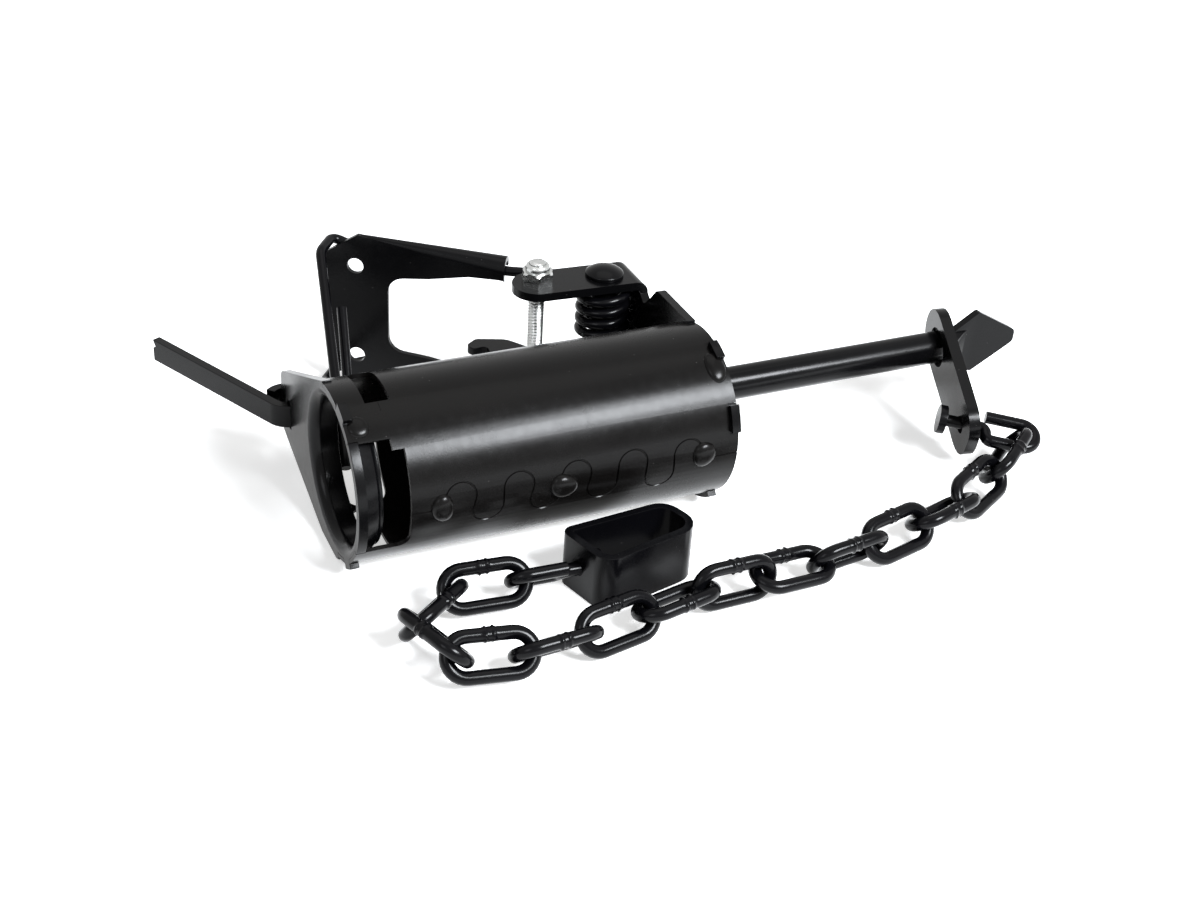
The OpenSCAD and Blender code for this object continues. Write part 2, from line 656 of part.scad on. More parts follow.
// A welded chain link, long along X
module link_body() {
    r = link_d / 2;
    bow_r = link_w / 2 - r;
    half = link_in / 2 - bow_r + r;
    for (s = [-1, 1]) {
        translate([0, s * bow_r, 0]) bar_x(-half, 2 * half, r);
        translate([s * half, 0, 0]) rotate(s > 0 ? -90 : 90) rotate_extrude(angle = 180)
            translate([bow_r, 0]) circle(r = r);
    }
    translate([0, bow_r, 0]) bar_x(-1.6, 3.2, r + 0.5);
}

module chain_link(k) color([0.11, 0.11, 0.12]) {
    s = chain_lay[k];
    translate(link_start(k) + link_step(k) / 2) rotate([s.z, -s.y, s.x]) link_body();
}

// The box swivel: a strip bent into a box, with a headed eye through one end
box_heading = -2.7;
box_eye_l = 21;
box_foot = 2.8;

// X runs along the shank of the box's eye, from the inside of the eye's bend on
module at_box() {
    translate([50, -48.8, floor_z + box_h / 2]) rotate(box_heading) children();
}

module box_eye() color([0.12, 0.12, 0.13]) at_box() translate([box_eye_l, 0, 0]) rotate([45, 0, 180])
    eye_swivel(-box_t - 2.8 - head_t, box_foot, box_eye_l - box_foot + link_d + link_gap / 2, eye_w);

// The outer outline of the box, seen from above, with the radius of each corner
box_outline = [[-3.4, box_w / 2 - 2, 3.5], [box_l - 6.2, box_w / 2 + 4, 8],
    [box_l + 1, -2, 8], [5, -box_w / 2 - 1.8, 7]];

module box_swivel() color([0.11, 0.11, 0.12]) at_box() translate([box_eye_l, 0, 0]) difference() {
    translate([0, 0, -box_h / 2]) linear_extrude(box_h) difference() {
        polygon(rounded(box_outline));
        polygon(rounded(box_outline, box_t));
    }
    bar_x(-10, 20, link_d / 2 + run_c);
    translate([box_l - 3, 7, 0]) rotate(22) bar_x(-10, 20, box_hole_d / 2);
}

tube();
mouth_plate();
end_plate();
anchor_rod();
spring_pin();
trigger_bolt();
lock_nut();
spring_upper();
spring_lower();
spring_bridge();
lever();
dog();
trigger();
swivel_plate();
rod_eye();
for (k = [0:13]) chain_link(k);
box_eye();
box_swivel();
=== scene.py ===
import json
import math

import bmesh
import bpy
from bpy.props import FloatProperty, FloatVectorProperty, PointerProperty
from mathutils import Matrix, Vector

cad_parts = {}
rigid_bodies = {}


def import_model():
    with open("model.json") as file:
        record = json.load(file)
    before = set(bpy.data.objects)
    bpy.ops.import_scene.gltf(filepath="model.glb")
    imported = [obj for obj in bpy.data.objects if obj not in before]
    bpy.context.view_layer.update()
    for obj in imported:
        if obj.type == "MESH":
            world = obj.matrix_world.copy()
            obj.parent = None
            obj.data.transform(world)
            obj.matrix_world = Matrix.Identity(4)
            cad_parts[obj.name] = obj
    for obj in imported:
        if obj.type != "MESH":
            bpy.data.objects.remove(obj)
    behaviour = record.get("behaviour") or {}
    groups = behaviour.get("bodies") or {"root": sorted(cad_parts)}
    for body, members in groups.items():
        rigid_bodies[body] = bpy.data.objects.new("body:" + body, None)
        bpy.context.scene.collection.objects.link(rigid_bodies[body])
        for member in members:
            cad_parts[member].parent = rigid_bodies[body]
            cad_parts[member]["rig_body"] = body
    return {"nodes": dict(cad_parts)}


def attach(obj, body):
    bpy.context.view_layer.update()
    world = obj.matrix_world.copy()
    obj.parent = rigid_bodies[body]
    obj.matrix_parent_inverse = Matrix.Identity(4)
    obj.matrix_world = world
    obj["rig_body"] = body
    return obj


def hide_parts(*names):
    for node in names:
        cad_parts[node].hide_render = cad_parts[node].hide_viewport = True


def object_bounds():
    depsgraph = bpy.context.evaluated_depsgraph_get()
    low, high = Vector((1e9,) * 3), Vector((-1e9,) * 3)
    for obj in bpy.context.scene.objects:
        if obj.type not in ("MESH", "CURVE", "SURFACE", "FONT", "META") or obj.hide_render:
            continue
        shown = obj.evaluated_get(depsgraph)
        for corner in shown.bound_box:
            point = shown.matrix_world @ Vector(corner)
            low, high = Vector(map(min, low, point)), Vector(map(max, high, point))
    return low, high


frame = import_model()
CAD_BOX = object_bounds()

bl_info = {
    "name": "Raccoon trap",
    "version": (1, 0, 0),
    "blender": (4, 5, 0),
    "location": "View3D > Sidebar > Raccoon trap",
    "description": "Dresses the packed raccoon trap with painted, plated and threaded pieces",
    "category": "Object",
}

MM = 0.001
LINKS = 14

# Sizes that follow the solids, in millimetres
TUBE_R = 31.75
TUBE_LEN = 139.8
PIN = (125.6, 57.5)
BOLT = (98.4, 59.0)
FLANGE_Z = 28.6
LEVER_TILT = 32.3
LEVER_SHEET = 2.0
COIL_TOP = 23.23
COIL_LOW = 4.5
COIL_R = 8.75
COIL_TURNS = 4
ARM_LEAVES = 97.0

# Sides of the round pieces
WIRE_SIDES = 18
LINK_SIDES = 20
THREAD_SIDES = 30
NUT_SIDES = 72
COLLAR_SIDES = 48

# Gloss of the paint
PAINT_IOR = 1.45
PAINT_SHINE = 0.13

# The stage, in metres: the floor, the sky and the lamps, each lamp with its azimuth and elevation in
# degrees round the middle, its distance, its size and its tint
FLOOR_REACH = 1.2
FLOOR_DROP = 0.0002
FLOOR_GLOW = (0.5, 0.5, 0.495)
SKY_TINT = (0.97, 0.98, 1.0)
SKY_STRENGTH = 0.25
LIT_MIDDLE = Vector((0.09, 0.0, 0.0))
LAMPS = (("key", -62, 40, 1.3, (0.62, 0.36), (0.93, 0.96, 1.0)),
         ("top", 60, 78, 1.5, (1.2, 0.8), (1.0, 0.99, 0.97)),
         ("left", -150, 35, 1.4, (0.5, 0.5), (0.93, 0.95, 1.0)))

# The camera's place in millimetres, and the directions of its right side and its back
CAMERA_PLACE = Vector((-133.83, -483.137, 325.239))
CAMERA_RIGHT = Vector((0.91305, -0.40385, 0.05692))
CAMERA_BACK = Vector((-0.37022, -0.76216, 0.53108))


def length(name, description, default, low, high):
    """A size property in metres, with its default and limits given in millimetres."""
    return FloatProperty(name=name, description=description, default=default * MM, min=low * MM,
                         max=high * MM, unit="LENGTH", precision=5)


def colour(name, description, default):
    """A colour property, in linear light."""
    return FloatVectorProperty(name=name, description=description, subtype="COLOR", size=3,
                               default=default, min=0, max=1)


class TrapSizes(bpy.types.PropertyGroup):
    """Sizes of the details that are added to the solids."""

    seam_width: length("Seam width", "Width of the groove where the rolled sheet locks", 0.75, 0.2, 1.5)
    seam_depth: length("Seam depth", "Depth of that groove", 0.42, 0.1, 0.9)
    seam_lobe: length("Seam lobe", "Radius of the seam's rounded keys", 5.5, 4, 5.9)
    edge_round: length("Edge round", "Round on the edges of stamped sheet and plate", 0.3, 0.05, 0.6)
    wire: length("Spring wire", "Diameter of the spring wire", 3.9, 3.4, 4.2)
    link_wire: length("Link wire", "Diameter of the chain's wire", 4.8, 4, 5.2)
    link_weld: length("Weld collar", "How far a link's weld stands proud", 0.42, 0, 0.8)
    thread_pitch: length("Thread pitch", "Pitch of the trigger bolt's thread", 1.27, 0.8, 1.6)
    thread_depth: length("Thread depth", "Depth of the thread", 0.55, 0.2, 0.7)


class TrapColours(bpy.types.PropertyGroup):
    """Colours and gloss of the finishes."""

    tube: colour("Tube paint", "Satin paint of the tube and plates", (0.0022, 0.002, 0.0019))
    paint: colour("Black paint", "Gloss paint of the bars and the lever", (0.0014, 0.0014, 0.0016))
    chain: colour("Chain paint", "Gloss paint of the links and the box swivel", (0.0012, 0.0012, 0.0016))
    dust: colour("Dust", "Specks on the paint", (0.11, 0.105, 0.1))
    zinc: colour("Zinc", "Plating of the bolt and nut", (0.62, 0.63, 0.62))
    nylon: colour("Nylon", "Insert of the lock nut", (0.38, 0.4, 0.38))


class TrapStage(bpy.types.PropertyGroup):
    """Floor, light and camera."""

    floor: colour("Floor", "Colour of the plain floor", (0.92, 0.92, 0.915))
    key_power: FloatProperty(name="Key light", description="Power of the large front light", default=52,
                             min=0, max=100)
    top_power: FloatProperty(name="Top light", description="Power of the soft top light", default=3, min=0,
                             max=100)
    left_power: FloatProperty(name="Left light", description="Power of the light from the mouth's side",
                              default=3, min=0, max=100)
    lens: FloatProperty(name="Lens", description="Focal length on a 36 mm sensor", default=52.083, min=10,
                        max=200)


class Field:
    """A number that changes over a surface. Arithmetic on it adds Math nodes."""

    def __init__(self, tree, socket):
        self.tree = tree
        self.socket = socket

    def _math(self, operation, first, second):
        return self.tree.node("ShaderNodeMath", {"operation": operation}, {0: first, 1: second})

    def __add__(self, other):
        return self._math("ADD", self, other)

    def __radd__(self, other):
        return self._math("ADD", other, self)

    def __sub__(self, other):
        return self._math("SUBTRACT", self, other)

    def __rsub__(self, other):
        return self._math("SUBTRACT", other, self)

    def __mul__(self, other):
        return self._math("MULTIPLY", self, other)

    def __rmul__(self, other):
        return self._math("MULTIPLY", other, self)

    def __lt__(self, other):
        return self._math("LESS_THAN", self, other)

class Nodes:
    """A node tree under construction."""

    def __init__(self, tree):
        self.tree = tree

    def node(self, kind, settings, inputs, output=0):
        """Adds a node, with its settings first and then the values or links of its sockets."""
        made = self.tree.nodes.new(kind)
        for key, value in settings.items():
            setattr(made, key, value)
        for key, value in inputs.items():
            self.put(made.inputs[key], value)
        return Field(self, made.outputs[output])

    def put(self, socket, value):
        """Links a field to a socket, or sets a plain value on it."""
        if isinstance(value, Field):
            self.tree.links.new(value.socket, socket)
        else:
            socket.default_value = value

    def blend(self, mask, first, second):
        """A colour between two, by a mask. Sockets 0, 6 and 7 of a colour Mix are its factor and colours."""
        inputs = {0: mask}
        for socket, value in ((6, first), (7, second)):
            inputs[socket] = value if isinstance(value, Field) else (*value, 1)
        return self.node("ShaderNodeMix", {"data_type": "RGBA"}, inputs, 2)

    def seen_rays(self):
        """1 for the rays that see the background: from the camera, off gloss and through glass."""
        camera, gloss, glass = (self.node("ShaderNodeLightPath", {}, {}, output)
                                for output in ("Is Camera Ray", "Is Glossy Ray", "Is Transmission Ray"))
        first = self.node("ShaderNodeMath", {"operation": "MAXIMUM"}, {0: camera, 1: gloss})
        return self.node("ShaderNodeMath", {"operation": "MAXIMUM"}, {0: first, 1: glass})


class Finish(Nodes):
    """A material under construction."""

    def __init__(self, name):
        self.material = bpy.data.materials.new(name)
        self.material.use_nodes = True
        super().__init__(self.material.node_tree)
        self.shader = self.tree.nodes["Principled BSDF"]

    def place(self):
        """The position on the piece at rest, in metres."""
        return self.node("ShaderNodeTexCoord", {}, {}, "Object")

    def noise(self, per_metre, detail=2.0, stretch=(1, 1, 1)):
        """Noise between 0 and 1, with features of about 1/per_metre metres."""
        spot = self.node("ShaderNodeVectorMath", {"operation": "MULTIPLY"}, {0: self.place(), 1: stretch})
        values = {"Vector": spot, "Scale": per_metre, "Detail": detail}
        return self.node("ShaderNodeTexNoise", {}, values, "Fac")

    def specks(self, per_metre, size, share):
        """1 on small round specks, 0 elsewhere. Share is the part of the cells that hold one."""
        cells = {"Vector": self.place(), "Scale": per_metre}
        near = self.node("ShaderNodeTexVoronoi", {}, cells, "Distance")
        tint = self.node("ShaderNodeTexVoronoi", {}, cells, "Color")
        draw = self.node("ShaderNodeSeparateColor", {}, {"Color": tint}, "Red")
        return (near < size) * (draw < share)

    def bump(self, height, distance, strength):
        """A normal from a height field, with the depth of its relief in metres."""
        self.set("Normal", self.node("ShaderNodeBump", {}, {"Height": height, "Distance": distance,
                                                             "Strength": strength}))

    def set(self, name, value):
        """Sets a socket of the shader."""
        self.put(self.shader.inputs[name], value)


def paint(name, tint, gloss, peel, dirt):
    """Black enamel: orange peel, runs of different gloss, and dust specks."""
    made = Finish(name)
    dust = made.specks(620, 0.075, dirt) * made.noise(90, 1)
    cloud = made.noise(38, 3)
    fine = made.noise(1500, 2)
    coarse = made.noise(330, 2)
    base = made.blend(cloud, [0.75 * c for c in tint], [1.3 * c for c in tint])
    made.set("Base Color", made.blend(dust, base, bpy.context.scene.trap_colours.dust))
    made.set("Roughness", gloss + 0.12 * (cloud - 0.5) + 0.1 * (coarse - 0.5) + 0.3 * dust)
    made.bump(fine * 0.55 + coarse + 2.0 * dust, peel * MM, 0.8)
    made.set("IOR", PAINT_IOR)
    made.set("Specular IOR Level", PAINT_SHINE)
    return made.material


def zinc_plate(name, tint, gloss):
    """Bright zinc, slightly mottled, with fine drawing marks."""
    made = Finish(name)
    cloud = made.noise(420, 3)
    fine = made.noise(2600, 2)
    made.set("Base Color", made.blend(cloud, [0.72 * c for c in tint], tint))
    made.set("Roughness", gloss + 0.2 * (cloud - 0.5))
    made.bump(fine + cloud, 0.02 * MM, 0.5)
    made.set("Metallic", 1.0)
    return made.material


def nylon(name, tint):
    """The pale insert of the lock nut."""
    made = Finish(name)
    cloud = made.noise(900, 2)
    made.set("Base Color", made.blend(cloud, [0.7 * c for c in tint], tint))
    made.set("Roughness", 0.42 + 0.15 * cloud)
    made.bump(cloud, 0.04 * MM, 0.5)
    return made.material


FINISHES = {
    "tube_paint": lambda c: paint("tube_paint", c.tube, 0.25, 0.022, 0.06),
    "black_paint": lambda c: paint("black_paint", c.paint, 0.22, 0.018, 0.05),
    "chain_paint": lambda c: paint("chain_paint", c.chain, 0.2, 0.012, 0.02),
    "spring_steel": lambda c: paint("spring_paint", c.chain, 0.22, 0.012, 0.02),
    "zinc": lambda c: zinc_plate("zinc_plate", c.zinc, 0.24),
    "nylon": lambda c: nylon("nylon_insert", c.nylon),
}
MADE = {}


def finish_for(slot):
    """The material of a slot, made once."""
    if slot not in MADE:
        MADE[slot] = FINISHES[slot](bpy.context.scene.trap_colours)
    return MADE[slot]


def add_piece(name, mesh, body, slot, replaced=()):
    """Puts a mesh into the scene on a body, with its finish and the nodes that it stands for."""
    made = bpy.data.objects.new(name, mesh)
    bpy.context.scene.collection.objects.link(made)
    mesh.materials.clear()
    mesh.materials.append(finish_for(slot))
    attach(made, body)
    if replaced:
        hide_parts(*replaced)
    return made


def shade(work, angle):
    """Smooth shading, with the edges sharper than an angle kept sharp."""
    limit = math.radians(angle)
    for face in work.faces:
        face.smooth = True
    for edge in work.edges:
        edge.smooth = len(edge.link_faces) == 2 and edge.calc_face_angle(0.0) < limit


def to_mesh(name, work, angle=32):
    """A new mesh from a bmesh, shaded."""
    bmesh.ops.recalc_face_normals(work, faces=work.faces)
    shade(work, angle)
    made = bpy.data.meshes.new(name)
    work.to_mesh(made)
    work.free()
    return made


def from_node(node, flat=1.0):
    """The welded mesh of a node, its flat faces joined."""
    work = bmesh.new()
    work.from_mesh(frame["nodes"][node].data)
    bmesh.ops.remove_doubles(work, verts=work.verts, dist=0.002 * MM)
    bmesh.ops.dissolve_limit(work, angle_limit=math.radians(flat), verts=work.verts, edges=work.edges)
    return work


def soften(work, width, angle=38, segments=2):
    """Rounds every edge that is sharper than an angle."""
    limit = math.radians(angle)
    sharp = [e for e in work.edges if len(e.link_faces) == 2 and e.calc_face_angle(0.0) > limit]
    bmesh.ops.bevel(work, geom=sharp, offset=width, segments=segments, profile=0.5, affect="EDGES",
                    clamp_overlap=True)
    bmesh.ops.remove_doubles(work, verts=work.verts, dist=0.001 * MM)


def level_shading(piece):
    """Shades flat faces flat beside rounded edges."""
    made = piece.modifiers.new("weighted", "WEIGHTED_NORMAL")
    made.keep_sharp = True
    made.mode = "FACE_AREA"


def dressed(node, slot, width):
    """A node's own shape with rounded edges and a finish."""
    name = node + "_painted"
    work = from_node(node)
    soften(work, width)
    level_shading(add_piece(name, to_mesh(name, work, 40), frame["nodes"][node]["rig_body"], slot, [node]))


def unit(v):
    return v.normalized()


def carried_frames(points):
    """Travel direction and two side directions at each point, turned as little as possible."""
    count = len(points)
    headings = []
    for i in range(count):
        before = points[max(i, 1)] - points[max(i, 1) - 1]
        after = points[min(i + 1, count - 1)] - points[min(i, count - 2)]
        headings.append(unit(unit(before) + unit(after)))
    side = Vector((0, 0, 1)) if abs(headings[0].z) < 0.8 else Vector((1, 0, 0))
    frames = []
    for heading in headings:
        side = unit(side - side.dot(heading) * heading)
        frames.append((heading, side, heading.cross(side)))
    return frames


def join_rings(work, rings, capped=True):
    """Joins rows of points with four-sided faces, and closes both ends."""
    count = len(rings[0])
    for first, second in zip(rings, rings[1:]):
        for k in range(count):
            work.faces.new((first[k], first[(k + 1) % count], second[(k + 1) % count], second[k]))
    if capped:
        work.faces.new(rings[0][::-1])
        work.faces.new(rings[-1])


def tube_skin(points, radius, sides):
    """A round wire through points, as one closed skin."""
    work = bmesh.new()
    rings = []
    for point, (_, across, over) in zip(points, carried_frames(points)):
        ring = []
        for k in range(sides):
            a = 2 * math.pi * k / sides
            ring.append(work.verts.new(point + radius * (math.cos(a) * across + math.sin(a) * over)))
        rings.append(ring)
    join_rings(work, rings)
    return work


def turned(profile, steps, swell=None):
    """A closed solid turned about Z from (radius, height) points. Swell gives an added radius."""
    work = bmesh.new()
    rows = []
    for r, z in profile:
        row = []
        for k in range(steps):
            a = 2 * math.pi * k / steps
            reach = r + (swell(a, z) if swell and r > 0 else 0)
            row.append(work.verts.new((reach * math.cos(a), reach * math.sin(a), z)))
        rows.append(row)
    join_rings(work, rows)
    return work


def bend(a, b, c, r, steps):
    """Points of the arc that rounds corner b."""
    u, v = unit(a - b), unit(c - b)
    half = math.acos(max(-1, min(1, u.dot(v)))) / 2
    mid = b + unit(u + v) * r / math.sin(half)
    p = b + u * r / math.tan(half) - mid
    q = b + v * r / math.tan(half) - mid
    sweep = math.acos(max(-1, min(1, p.dot(q) / r / r)))
    return [mid + (math.sin(sweep * (1 - i / steps)) * p + math.sin(sweep * i / steps) * q) / math.sin(sweep)
            for i in range(steps + 1)]


def rounded_path(points, radii, steps=10):
    made = [points[0]]
    for i in range(1, len(points) - 1):
        made += bend(points[i - 1], points[i], points[i + 1], radii[i - 1], steps)
    return made + [points[-1]]


def to_lever(p):
    """A point of the row frame in the lever's frame."""
    a = math.radians(LEVER_TILT)
    x, y = p[0] - PIN[0], p[1] - PIN[1]
    return Vector((x * math.cos(a) - y * math.sin(a), x * math.sin(a) + y * math.cos(a), p[2]))


def from_lever(p):
    a = math.radians(LEVER_TILT)
    return Vector((PIN[0] + p.x * math.cos(a) + p.y * math.sin(a),
                   PIN[1] - p.x * math.sin(a) + p.y * math.cos(a), p.z))


def spring_paths(wire_r):
    """Centre lines of the two halves and of the loop between them, in the row frame."""
    pitch = (COIL_TOP - COIL_LOW) / COIL_TURNS
    arm_y = LEVER_SHEET + wire_r + 0.15
    lever_reach = 110
    crossing = (lever_reach - 0.6, 28.8)
    arm = [Vector((-38, arm_y, COIL_TOP)), Vector((-93, arm_y + 0.5, 23.7)),
           Vector((-crossing[0] + 1, arm_y, crossing[1] + 0.4)), Vector((-crossing[0], -9, crossing[1]))]

    def coil(turn):
        a = math.radians(ARM_LEAVES - 360 * turn)
        return Vector((COIL_R * math.cos(a), COIL_R * math.sin(a), COIL_TOP - pitch * turn))

    def flip(points):
        return [Vector((p.x, p.y, -p.z)) for p in points]

    rings = 36
    wound = [coil(i / rings) for i in range(1, COIL_TURNS * rings + 1)]
    upper = rounded_path([to_lever((14.5, 32, -21))] + arm[::-1] + [coil(0)], [7, 3.5, 20, 60]) + wound
    lower = rounded_path([to_lever((31, 90, 13)), to_lever((24.5, 60, -14))] + flip(arm[::-1] + [coil(0)]),
                         [6, 7, 3.5, 20, 60]) + flip(wound)

    gap, turn, steps = 10.5, 100, 24
    half = []
    for i in range(steps + 1):
        sweep = gap + turn * i / steps
        a = math.radians(ARM_LEAVES - LEVER_TILT - sweep)
        half.append(Vector((PIN[0] + COIL_R * math.cos(a), PIN[1] + COIL_R * math.sin(a),
                            COIL_LOW - pitch * sweep / 360)))
    rest_y = TUBE_R + wire_r + 0.3
    nose_x, nose_z = PIN[0] - 11, half[-1].z
    half.append(Vector((nose_x, rest_y, nose_z)))
    for a in range(75, 0, -15):
        t = math.radians(a)
        half.append(Vector((nose_x - nose_z * math.cos(t), rest_y, nose_z * math.sin(t))))
    bridge = half + [Vector((nose_x - nose_z, rest_y, 0))] + flip(half[::-1])
    return [from_lever(p) for p in upper], [from_lever(p) for p in lower], bridge


def on_tube(x, rise, r=TUBE_R):
    """A point of the tube, rise being the arc above its near side, in millimetres."""
    a = math.pi - rise / TUBE_R
    return Vector((x, r * math.cos(a), r * math.sin(a)))


def seam_line(lobe):
    """The locking seam: rounded keys that point up and down in turn, between two straight ends."""
    top, low, level = 7.76, -9.8, -1.2
    heads = [(35.4, 1), (45.2, -1), (56.2, 1), (66.0, -1), (77.3, 1), (87.2, -1), (98.6, 1), (109.2, -1),
             (120.0, 1)]
    centres = [(Vector((x, (top - lobe) if up > 0 else (low + lobe))), up) for x, up in heads]
    fillet = 1.6
    full = 2 * math.pi

    def turn_at(x, angles):
        return [Vector((x + fillet * math.cos(t), level + fillet * (1 + math.sin(t))))
                for t in map(math.radians, angles)]

    line = [Vector((15.0, level))] + turn_at(centres[0][0].x - lobe - fillet, (-90, -67, -45, -22, 0))
    enter = math.pi
    steps = 16
    for i, (centre, up) in enumerate(centres):
        leave = 0.0
        if i + 1 < len(centres):
            step = centres[i + 1][0] - centre
            leave = math.atan2(step.y, step.x) + up * math.acos(min(1, 2 * lobe / step.length))
        sweep = (leave - enter) % full - (full if up > 0 else 0)
        for k in range(steps + 1):
            a = enter + sweep * k / steps
            line.append(centre + lobe * Vector((math.cos(a), math.sin(a))))
        enter = leave + math.pi
    line += turn_at(centres[-1][0].x + lobe + fillet, (180, 202, 225, 247, 270))
    return line + [Vector((TUBE_LEN + 1, level))]


def seam_cutter(line, width, depth):
    """A closed bar that follows the seam and cuts its groove."""
    work = bmesh.new()
    rings = []
    for i, p in enumerate(line):
        ahead = line[min(i + 1, len(line) - 1)] - line[max(i - 1, 0)]
        side = Vector((-ahead.y, ahead.x)).normalized()
        ring = []
        for across, r in ((0.5, TUBE_R + 0.6), (-0.5, TUBE_R + 0.6), (-0.5, TUBE_R + 0.02),
                          (-0.16, TUBE_R - depth), (0.16, TUBE_R - depth), (0.5, TUBE_R + 0.02)):
            q = p + side * across * width
            ring.append(work.verts.new(on_tube(q.x, q.y, r) * MM))
        rings.append(ring)
    join_rings(work, rings)
    bmesh.ops.recalc_face_normals(work, faces=work.faces)
    made = bpy.data.meshes.new("seam_cutter")
    work.to_mesh(made)
    work.free()
    return made


def lump(x, rise, across, along, proud, wobble):
    """A rounded lump pressed out of the tube's wall. Across runs along X, along round the tube."""
    work = bmesh.new()
    rows, steps = 12, 40
    rim = []
    for j in range(rows + 1):
        t = j / rows
        row = []
        for k in range(steps):
            a = 2 * math.pi * k / steps
            edge = 1 + wobble * (0.5 * math.sin(2 * a + x) + 0.5 * math.sin(3 * a + 2.1 * x))
            reach = t * edge
            lift = proud * max(0.0, 1 - t ** 2.6) ** 0.6 - (0.25 if j == rows else 0)
            row.append(work.verts.new(on_tube(x + across / 2 * reach * math.cos(a),
                                              rise + along / 2 * reach * math.sin(a),
                                              TUBE_R + lift) * MM))
        rim.append(row)
    join_rings(work, rim[1:], capped=False)
    centre = rim[0][0]
    for k in range(steps):
        work.faces.new((centre, rim[1][k], rim[1][(k + 1) % steps]))
    for spare in rim[0][1:]:
        work.verts.remove(spare)
    floor = work.verts.new(on_tube(x, rise, TUBE_R - 0.6) * MM)
    for k in range(steps):
        work.faces.new((rim[-1][(k + 1) % steps], rim[-1][k], floor))
    return work


class TRAP_OT_tube(bpy.types.Operator):
    """Makes the tube with its locking seam and its pressed lumps"""

    bl_idname = "trap.tube"
    bl_label = "Tube"
    bl_options = {"REGISTER", "UNDO"}

    def execute(self, context):
        sizes = context.scene.trap_sizes
        work = from_node("tube", 0.5)
        soften(work, 0.22 * MM, 50)
        shell = add_piece("tube_shell", to_mesh("tube_shell", work, 40), "trap_frame", "tube_paint", ["tube"])
        line = seam_line(sizes.seam_lobe / MM)
        cutter = bpy.data.objects.new("seam_cutter", seam_cutter(line, sizes.seam_width / MM,
                                                                 sizes.seam_depth / MM))
        bpy.context.scene.collection.objects.link(cutter)
        cut = shell.modifiers.new("seam", "BOOLEAN")
        cut.operation = "DIFFERENCE"
        cut.solver = "EXACT"
        cut.object = cutter
        bpy.context.view_layer.update()
        ready = bpy.data.meshes.new_from_object(shell.evaluated_get(bpy.context.evaluated_depsgraph_get()))
        shell.modifiers.clear()
        bpy.data.objects.remove(cutter)
        work = bmesh.new()
        work.from_mesh(ready)
        shell.data = to_mesh("tube_shell_cut", work, 30)
        shell.data.materials.clear()
        shell.data.materials.append(finish_for("tube_paint"))
        level_shading(shell)
        lumps = (("seam_lump_left", 28.9, -0.8, 8.2, 10.5, 2.3, 0.06),
                 ("seam_lump_middle", 72.6, -1.0, 10.5, 9.0, 2.6, 0.08),
                 ("seam_lump_right", 126.3, 0.6, 9.0, 10.0, 2.1, 0.05),
                 ("mouth_lump", 4.75, 32.1, 7.5, 8.0, 1.2, 0.05),
                 ("end_lump", 135.4, 31.5, 7.6, 12.5, 1.5, 0.04))
        for name, x, rise, across, along, proud, wobble in lumps:
            add_piece(name, to_mesh(name, lump(x, rise, across, along, proud, wobble), 60), "trap_frame",
                      "tube_paint")
        return {"FINISHED"}


class TRAP_OT_plates(bpy.types.Operator):
    """Makes the mouth plate, the end plate and the spring pin"""

    bl_idname = "trap.plates"
    bl_label = "Plates"
    bl_options = {"REGISTER", "UNDO"}

    def execute(self, context):
        sizes = context.scene.trap_sizes
        dressed("mouth_plate", "black_paint", sizes.edge_round)
        dressed("end_plate", "black_paint", sizes.edge_round)
        dressed("spring_pin", "black_paint", 0.25 * MM)
        return {"FINISHED"}


class TRAP_OT_lever(bpy.types.Operator):
    """Makes the lever, the dog and the trigger"""

    bl_idname = "trap.lever"
    bl_label = "Lever, dog and trigger"
    bl_options = {"REGISTER", "UNDO"}

    def execute(self, context):
        sizes = context.scene.trap_sizes
        dressed("lever", "black_paint", 0.25 * MM)
        dressed("dog", "black_paint", sizes.edge_round)
        dressed("trigger", "black_paint", 0.25 * MM)
        return {"FINISHED"}


class TRAP_OT_spring(bpy.types.Operator):
    """Winds the two halves of the spring and the loop between them"""

    bl_idname = "trap.spring"
    bl_label = "Spring"
    bl_options = {"REGISTER", "UNDO"}

    def execute(self, context):
        sizes = context.scene.trap_sizes
        wire_r = sizes.wire / MM / 2
        bodies = ("lever", "lever", "trap_frame")
        nodes = ("spring_upper", "spring_lower", "spring_bridge")
        for node, body, points in zip(nodes, bodies, spring_paths(wire_r)):
            work = tube_skin([p * MM for p in points], wire_r * MM, WIRE_SIDES)
            add_piece(node + "_wire", to_mesh(node + "_wire", work, 50), frame["nodes"][node]["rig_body"],
                      "spring_steel", [node])
        return {"FINISHED"}


